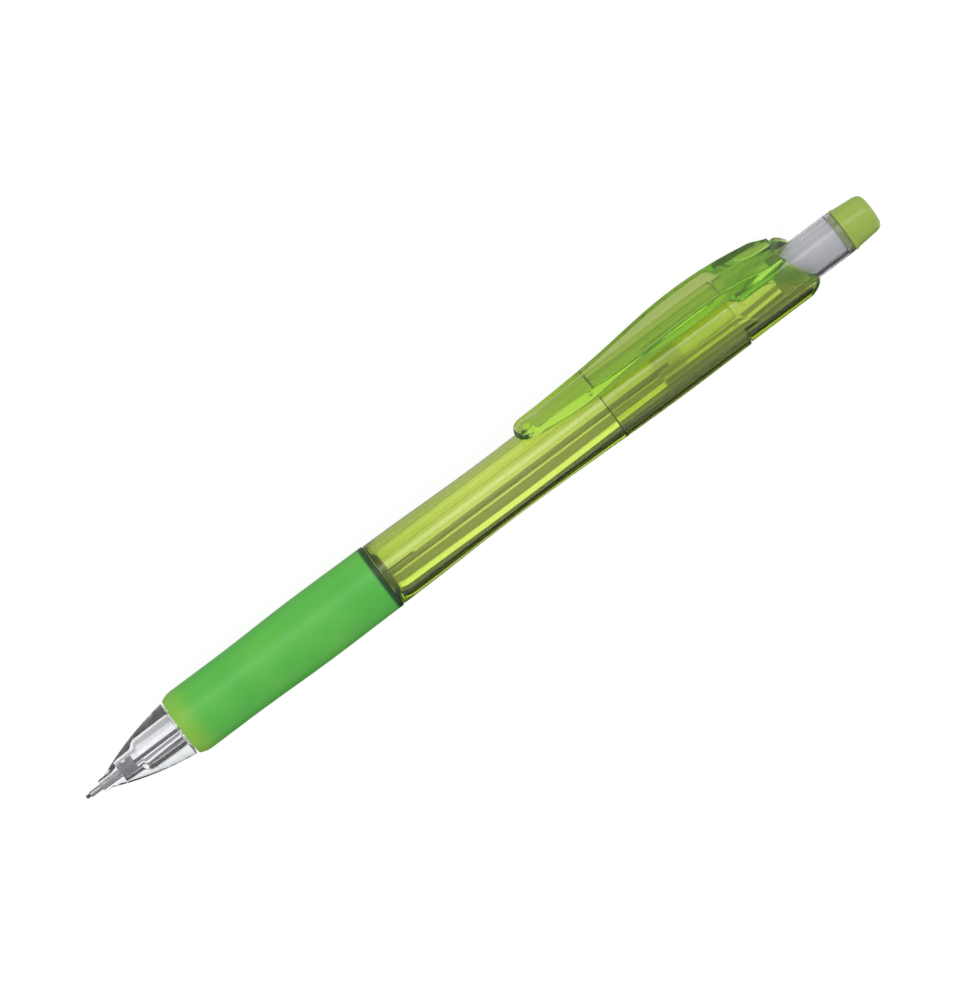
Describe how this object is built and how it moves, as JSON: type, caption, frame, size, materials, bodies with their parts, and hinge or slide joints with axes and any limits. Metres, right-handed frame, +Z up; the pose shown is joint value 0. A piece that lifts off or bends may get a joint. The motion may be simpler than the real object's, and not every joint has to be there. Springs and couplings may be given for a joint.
{
  "type": "push-button lead holder",
  "caption": "Slim push-button pencil for thin leads, with a clear screwed cone, soft grip, tinted see-through barrel, spring clip, clutch mechanism, push tube and eraser under a cap.",
  "frame": {"origin": "on the surface the pencil lies on, under the middle of its bounding box", "axes": "+X along the pencil, towards the point of the lead; +Z up, with the pencil lying on its barrel and one edge of its clip; the clip is on the -Y side"},
  "size_m": [0.144, 0.0142, 0.0108],
  "materials": {
    "steel": "drawn",
    "clear_plastic": "polished clear",
    "dark_rubber": "matt",
    "brass": "turned",
    "white_plastic": "moulded",
    "milky_plastic": "moulded, milky",
    "graphite": "dull sheen",
    "grip_rubber": "satin",
    "lime_plastic": "polished, tinted clear",
    "pale_plastic": "polished, milky lavender",
    "eraser_vinyl": "matt",
    "cap_plastic": "satin"
  },
  "bodies": {
    "main_body": {"barrel": "lime_plastic", "grip": "grip_rubber", "rear_sleeve": "lime_plastic", "chuck_housing": "white_plastic", "return_spring": "steel"},
    "push_button": {"push_tube": "pale_plastic", "lead_tube": "milky_plastic", "chuck_joint": "white_plastic", "chuck": "brass", "spare_lead_1": "graphite", "spare_lead_2": "graphite", "spare_lead_3": "graphite"},
    "lead_feed": {"chuck_ring": "steel", "lead_in_use": "graphite"},
    "eraser_body": {"eraser": "eraser_vinyl"},
    "cap_body": {"eraser_cap": "cap_plastic"},
    "tip_section": {"tip_cone": "clear_plastic", "lead_sleeve": "steel", "lead_retainer": "dark_rubber"},
    "clip_leaf": {"clip": "lime_plastic"}
  },
  "joints": [
    {"name": "push_button_slide", "type": "slide", "parent": "main_body", "child": "push_button", "axis": [1, 0, 0], "range_m": [0, 0.0035], "stiffness_N_per_m": 300, "springref_m": -0.004, "deforming": ["return_spring"]},
    {"name": "lead_feed_slide", "type": "slide", "parent": "main_body", "child": "lead_feed", "axis": [1, 0, 0], "range_m": [0, 0.0009]},
    {"name": "eraser_pull", "type": "slide", "parent": "push_button", "child": "eraser_body", "axis": [-1, 0, 0], "range_m": [0, 0.0135]},
    {"name": "cap_pull", "type": "slide", "parent": "eraser_body", "child": "cap_body", "axis": [-1, 0, 0], "range_m": [0, 0.012]},
    {"name": "tip_unscrew", "type": "slide", "parent": "main_body", "child": "tip_section", "axis": [1, 0, 0], "range_m": [0, 0.026]},
    {"name": "clip_flex", "type": "hinge", "parent": "main_body", "child": "clip_leaf", "pos_m": [-0.04765, -0.00501, 0.00362], "axis": [0, 0.2517, -0.9678], "range_deg": [0, 4], "stiffness_Nm_per_rad": 4}
  ],
  "couplings": [
    {"joint": "lead_feed_slide", "follows": "push_button_slide", "ratio": 0.25}
  ]
}
